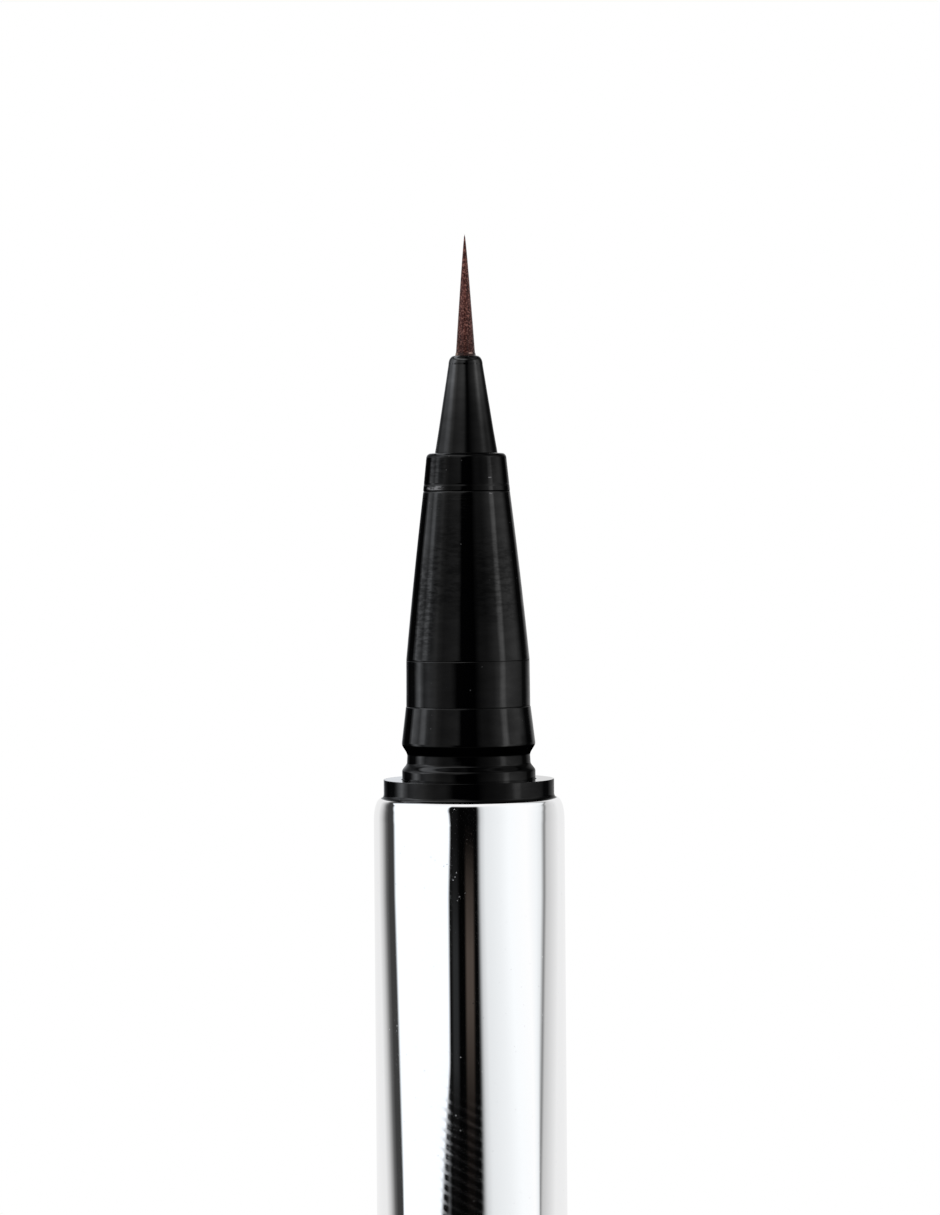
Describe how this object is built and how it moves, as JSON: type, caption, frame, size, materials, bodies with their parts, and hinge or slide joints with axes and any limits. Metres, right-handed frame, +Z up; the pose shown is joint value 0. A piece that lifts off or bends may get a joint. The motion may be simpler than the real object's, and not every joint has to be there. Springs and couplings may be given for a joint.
{
  "type": "liquid eyeliner pen",
  "caption": "Liquid eyeliner pen with a mirror-bright barrel, a pull-off cap posted on its tail, a black stepped grip and nozzle, and a fine brush fed with free ink by a finned collector.",
  "frame": {"origin": "centre of the flat end of the cap, on which the pen stands", "axes": "+Z up the pen's axis to the brush's point; +X along the ink slit of the collector"},
  "size_m": [0.0108, 0.0108, 0.1665],
  "materials": {
    "mirror_metal": "mirror polish with a few dust specks and hairline marks",
    "black_plastic": "gloss moulding",
    "liner_plastic": "natural white moulding",
    "tank_plastic": "natural milky moulding",
    "collector_plastic": "fine matt moulding that wets with ink",
    "holder_plastic": "natural ivory moulding",
    "seal_rubber": "smooth",
    "spring_steel": "drawn wire",
    "ball_steel": "polished stainless",
    "bristle": "fine tapered bristles, wet with ink",
    "wick_fibre": "drawn fibres"
  },
  "bodies": {
    "cap": {"cap_shell": "mirror_metal", "cap_liner": "liner_plastic", "inner_cap_spring": "spring_steel"},
    "inner_cap": {"inner_cap": "liner_plastic", "inner_cap_seal": "seal_rubber"},
    "pen": {"barrel_sleeve": "mirror_metal", "ink_tank": "tank_plastic", "tail_collar_ring": "black_plastic", "tail_post": "black_plastic", "tank_plug": "tank_plastic", "tail_seal_ring": "seal_rubber", "collar_ring": "black_plastic", "grip_section": "black_plastic", "section_seal_ring": "seal_rubber", "nozzle_tip": "black_plastic", "brush_holder": "holder_plastic", "brush_tuft": "bristle", "collector": "collector_plastic", "feed_wick": "wick_fibre"},
    "mixing_ball": {"mixing_ball": "ball_steel"}
  },
  "joints": [
    {"name": "cap_pull", "type": "slide", "parent": "cap", "child": "pen", "axis": [0, 0, 1], "range_m": [0, 0.012]},
    {"name": "inner_cap_press", "type": "slide", "parent": "cap", "child": "inner_cap", "axis": [0, 0, -1], "range_m": [0, 0.0015], "stiffness_N_per_m": 200, "springref_m": -0.003, "deforming": ["inner_cap_spring"]},
    {"name": "mixing_ball_roll", "type": "slide", "parent": "pen", "child": "mixing_ball", "axis": [0, 0, 1], "range_m": [0, 0.0648]}
  ]
}
